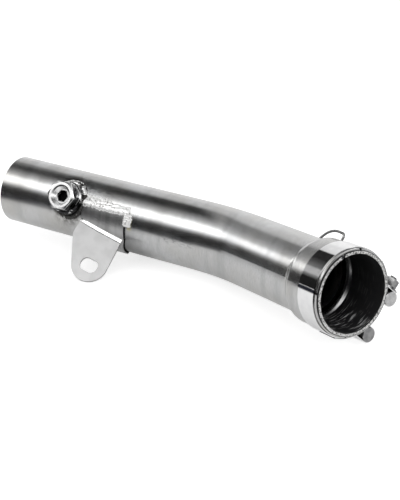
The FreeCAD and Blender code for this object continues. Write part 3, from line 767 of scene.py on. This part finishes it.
# Rippled weld beads: one ripple, copied along the seam and melted together
def beadOfRipples(name, ripple, spots, node, finish):
    bpy.ops.object.select_all(action="DESELECT")
    bpy.ops.mesh.primitive_uv_sphere_add(segments=24, ring_count=12, radius=1.0,
                                         location=(0, 0, 0))
    first = bpy.context.object
    bpy.ops.object.mode_set(mode="EDIT")
    bpy.ops.mesh.select_all(action="SELECT")
    bpy.ops.transform.resize(value=(ripple["halfLength"], ripple["halfWidth"],
                                    ripple["halfHeight"]))
    bpy.ops.transform.rotate(value=-math.radians(ripple["lean"]), orient_axis="Y",
                             center_override=(0, 0, 0))
    bpy.ops.object.mode_set(mode="OBJECT")
    copies = []
    for spot in spots:
        copy = bpy.data.objects.new(name, first.data.copy())
        copy.data.transform(spot)
        bpy.context.scene.collection.objects.link(copy)
        copies.append(copy)
    bpy.data.objects.remove(first)
    bpy.ops.object.select_all(action="DESELECT")
    for copy in copies:
        copy.select_set(True)
    bpy.context.view_layer.objects.active = copies[0]
    bpy.ops.object.join()
    bead = bpy.context.object
    bead.name = name
    melt = bead.modifiers.new("melt", "REMESH")
    melt.mode = "VOXEL"
    melt.voxel_size = ripple["grain"]
    bpy.ops.object.modifier_apply(modifier="melt")
    flow = bead.modifiers.new("flow", "SMOOTH")
    flow.iterations = ripple["flow"]
    bpy.ops.object.modifier_apply(modifier="flow")
    bpy.ops.object.shade_smooth()
    bead.data.materials.clear()
    bead.data.materials.append(finish)
    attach(bead, "root")
    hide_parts(node)


def spotMatrix(point, forward, outward):
    across = outward.cross(forward).normalized()
    forward = across.cross(outward).normalized()
    turned = Matrix((forward, across, outward.normalized())).transposed().to_4x4()
    return Matrix.Translation(point) @ turned


chance = random.Random(11)
unevenness = 0.14


def uneven(spot):
    sizes = [1 + chance.uniform(-unevenness, unevenness) for _ in range(3)]
    return spot @ Matrix.Diagonal((*sizes, 1))


# The saddle's bead runs along its upper edge and turns down over its end
saddleRipple = {
    "halfLength": 0.0019,
    "halfWidth": 0.0029,
    "halfHeight": 0.0010,
    "lean": 24,
    "grain": 0.0003,
    "flow": 3,
    "pitch": 0.0019,
    "from": 0.0905,
    "to": 0.1337,
    "clock": -13.5,
    "radius": 0.0316,
    "wander": 0.0005,  # at random, across the seam
    "toeOffset": -0.0031,  # a row on the tube beside the sheet
    "toeRadius": 0.0305,
    "foldOffset": -0.0060,  # a row further out, along the first part of the seam
    "foldRadius": 0.0293,
    "foldUntil": 0.6,
    "weave": [  # share of the seam, then how far a row on the sheet is shifted
        (0.0, -0.0008), (0.2, -0.0010), (0.34, 0.0002), (0.6, 0.0006), (0.8, 0.0),
        (1.0, -0.0010)],
    "rise": 0.3,  # of that row for its shift
    "turnCount": 5,
    "turnClock": 5.0,
    "turnNear": 0.0003,  # past the seam's end, on the sheet and on the tube
    "turnFar": 0.0026,
}


def weaveAt(share):
    points = saddleRipple["weave"]
    for (before, low), (after, high) in zip(points, points[1:]):
        if share <= after:
            return low + (high - low) * (share - before) / (after - before)
    return points[-1][1]


spots = []
seamLength = saddleRipple["to"] - saddleRipple["from"]
count = round(seamLength / saddleRipple["pitch"])
for k in range(count + 1):
    share = k / count
    station = saddleRipple["from"] + seamLength * share
    shift = weaveAt(share)
    rows = [(0.0, saddleRipple["radius"]),
            (shift, saddleRipple["radius"] + shift * saddleRipple["rise"]),
            (saddleRipple["toeOffset"], saddleRipple["toeRadius"])]
    if share < saddleRipple["foldUntil"]:
        rows.append((saddleRipple["foldOffset"], saddleRipple["foldRadius"]))
    for across, radius in rows:
        off = across + chance.uniform(-1, 1) * saddleRipple["wander"]
        clock = saddleRipple["clock"] + math.degrees(off / pipe["radius"])
        point = onRun(station, clock, radius)
        spots.append(uneven(spotMatrix(point, pipe["along"], outwardAt(clock))))
turnedClock = saddleRipple["turnClock"] - saddleRipple["clock"]
turnRows = [(saddleRipple["turnNear"], saddleRipple["radius"]),
            (saddleRipple["turnFar"], saddleRipple["toeRadius"])]
for k in range(1, saddleRipple["turnCount"] + 1):
    clock = saddleRipple["clock"] + turnedClock * k / saddleRipple["turnCount"]
    for further, radius in turnRows:
        point = onRun(saddleRipple["to"] + further, clock, radius)
        spots.append(uneven(spotMatrix(point, outwardAt(clock + 90), outwardAt(clock))))
beadOfRipples("saddleBead", saddleRipple, spots, "saddle_weld", brightWeld)
print("saddle bead laid")

bungRipple = {
    "halfLength": 0.0014,
    "halfWidth": 0.0024,
    "halfHeight": 0.0014,
    "lean": 32,
    "grain": 0.0003,
    "flow": 1,
    "count": 52,
    "radius": 0.0157,
    "lift": 0.0008,  # over the tube
    "splay": 0.8,  # away from the bung
    "lookAhead": 0.02,  # radians to the point that a ripple faces
}


def bungSpot(angle):
    along = pipe["along"] * bungRipple["radius"] * math.cos(angle)
    sideways = bungRipple["radius"] * math.sin(angle)
    rise = math.sqrt((pipe["radius"] + bungRipple["lift"]) ** 2 - sideways ** 2)
    return bungFoot + along + bungSide * sideways + bungOut * rise


spots = []
for k in range(bungRipple["count"]):
    angle = 2 * math.pi * k / bungRipple["count"]
    point = bungSpot(angle)
    forward = bungSpot(angle + bungRipple["lookAhead"]) - point
    fromFoot = point - bungFoot
    away = (fromFoot - bungOut * fromFoot.dot(bungOut)).normalized()
    spots.append(uneven(spotMatrix(point, forward, bungOut + away * bungRipple["splay"])))
beadOfRipples("bungBead", bungRipple, spots, "bung_weld", burntWeld)
print("bung bead laid")

# The smooth straight bead in the corner between the saddle and the tab. A section is three
# pairs of up and out on its face, and the same three at the back for all.
tabSeam = {
    "left": onRun(0.0894, 15.1, 0.03222),
    "right": onRun(0.1301, 33.9, 0.03222),
    "tabClock": -34,  # the tab faces this way
    "overrun": 0.0012,
    "rounding": 0.0003,
    "roundingSteps": 3,
    "sharpAngle": 40,
    "blank": 0.01,  # from one section to the next before they are placed
    "back": [(0.0008, -0.0004), (-0.0006, -0.0008), (-0.0012, -0.0006)],
    "leftFace": [(-0.0014, 0.00005), (-0.0009, 0.0015), (0.0021, 0.00194)],
    "middleFace": [(-0.0025, 0.00005), (-0.00208, 0.00199), (0.0011, 0.00246)],
    "rightFace": [(-0.0027, 0.00005), (-0.00228, 0.00174), (0.0010, 0.00222)],
}
seamAlong = (tabSeam["right"] - tabSeam["left"]).normalized()
tabFace = outwardAt(tabSeam["tabClock"])
tabFace = (tabFace - seamAlong * tabFace.dot(seamAlong)).normalized()
tabUp = tabFace.cross(seamAlong)
seamSpots = [
    (tabSeam["left"], "leftFace"),
    ((tabSeam["left"] + tabSeam["right"]) / 2, "middleFace"),
    (tabSeam["right"] + seamAlong * tabSeam["overrun"], "rightFace"),
]
bpy.ops.object.select_all(action="DESELECT")
bpy.ops.mesh.primitive_circle_add(vertices=6, radius=0.002, fill_type="NGON",
                                  location=(0, 0, 0))
tabBead = bpy.context.object
tabBead.name = "tabBead"
bpy.ops.object.mode_set(mode="EDIT")
bpy.ops.mesh.select_all(action="SELECT")
for _ in seamSpots[1:]:
    bpy.ops.mesh.extrude_region_move(TRANSFORM_OT_translate={"value": (0, 0, tabSeam["blank"])})
bpy.ops.object.mode_set(mode="OBJECT")
placed = {}
for level, (seamSpot, section) in enumerate(seamSpots):
    ring = sorted((v for v in tabBead.data.vertices
                   if round(v.co.z / tabSeam["blank"]) == level),
                  key=lambda v: math.atan2(v.co.y, v.co.x))
    for corner, (up, out) in zip(ring, tabSeam[section] + tabSeam["back"]):
        placed[corner.index] = seamSpot + tabUp * up + tabFace * out
for index, point in placed.items():
    tabBead.data.vertices[index].co = point
bpy.ops.object.mode_set(mode="EDIT")
bpy.ops.mesh.select_all(action="SELECT")
bpy.ops.mesh.normals_make_consistent(inside=False)
bpy.ops.object.mode_set(mode="OBJECT")
soften = tabBead.modifiers.new("soften", "BEVEL")
soften.width = tabSeam["rounding"]
soften.segments = tabSeam["roundingSteps"]
bpy.ops.object.modifier_apply(modifier="soften")
bpy.ops.object.shade_smooth_by_angle(angle=math.radians(tabSeam["sharpAngle"]))
tabBead.data.materials.clear()
tabBead.data.materials.append(smoothWeld)
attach(tabBead, "root")
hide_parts("tab_weld")
print("tab bead laid")

# The clamp's threaded stud: one turn of the thread's profile, repeated by a screw
# modifier and cut to length
stud = {
    "root": 0.00246,
    "crest": 0.003,
    "pitch": 0.001,
    "profile": [(0.0, "root"), (0.08, "root"), (0.44, "crest"), (0.56, "crest"),
                (0.92, "root"), (1.0, "root")],
    "steps": 20,
    "runIn": 1.5,  # turns that the first cut takes off
    "spareTurns": 2,
    "mergeShare": 0.01,
    "cutWithin": 0.000001,
    "sharpAngle": 30,
    "from": -0.018835,  # along the stud, and then its place about the neck
    "to": 0.03263,
    "height": 0.0382,
    "station": 0.11805,
    "clock": 152.3,
}
bpy.ops.object.select_all(action="DESELECT")
bpy.ops.mesh.primitive_circle_add(vertices=len(stud["profile"]), radius=stud["crest"],
                                  location=(0, 0, 0))
threadedStud = bpy.context.object
threadedStud.name = "threadedStud"
# The circle is opened at one edge, and its corners are set on the profile
closing = {0, len(stud["profile"]) - 1}
closingEdge = next(e.index for e in threadedStud.data.edges if set(e.vertices) == closing)
bpy.ops.object.mode_set(mode="EDIT")
bpy.ops.mesh.select_mode(type="EDGE")
bpy.ops.mesh.select_all(action="DESELECT")
bpy.ops.object.mode_set(mode="OBJECT")
threadedStud.data.edges[closingEdge].select = True
bpy.ops.object.mode_set(mode="EDIT")
bpy.ops.mesh.delete(type="EDGE")
bpy.ops.mesh.select_mode(type="VERT")
bpy.ops.object.mode_set(mode="OBJECT")
for corner, (share, size) in zip(threadedStud.data.vertices, stud["profile"]):
    corner.co = (stud[size], 0, share * stud["pitch"])
studLength = stud["to"] - stud["from"]
turns = threadedStud.modifiers.new("turns", "SCREW")
turns.screw_offset = stud["pitch"]
turns.iterations = math.ceil(studLength / stud["pitch"]) + stud["spareTurns"]
turns.steps = stud["steps"]
turns.render_steps = stud["steps"]
bpy.ops.object.modifier_apply(modifier="turns")
bpy.ops.object.mode_set(mode="EDIT")
bpy.ops.mesh.select_all(action="SELECT")
bpy.ops.mesh.remove_doubles(threshold=stud["pitch"] * stud["mergeShare"])
bpy.ops.mesh.select_all(action="SELECT")
firstCut = stud["runIn"] * stud["pitch"]
bpy.ops.mesh.bisect(plane_co=(0, 0, firstCut), plane_no=(0, 0, 1), use_fill=True,
                    clear_inner=True, threshold=stud["cutWithin"])
bpy.ops.mesh.select_all(action="SELECT")
bpy.ops.mesh.bisect(plane_co=(0, 0, firstCut + studLength), plane_no=(0, 0, 1),
                    use_fill=True, clear_outer=True, threshold=stud["cutWithin"])
bpy.ops.mesh.select_all(action="SELECT")
bpy.ops.mesh.normals_make_consistent(inside=False)
bpy.ops.object.mode_set(mode="OBJECT")
bpy.ops.object.shade_smooth_by_angle(angle=math.radians(stud["sharpAngle"]))
clampAngle = math.radians(stud["clock"])
clampOut = neckInside * math.cos(clampAngle) + pipe["side"] * math.sin(clampAngle)
boltWay = pipe["side"] * math.cos(clampAngle) - neckInside * math.sin(clampAngle)
studStart = (neckStart + neckAxis * stud["station"] + clampOut * stud["height"]
             + boltWay * (stud["from"] - firstCut))
turned = Matrix((clampOut, boltWay.cross(clampOut), boltWay)).transposed().to_4x4()
threadedStud.data.transform(Matrix.Translation(studStart) @ turned)
threadedStud.data.materials.append(hardware)
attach(threadedStud, "root")
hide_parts("clamp_bolt")
print("stud threaded")
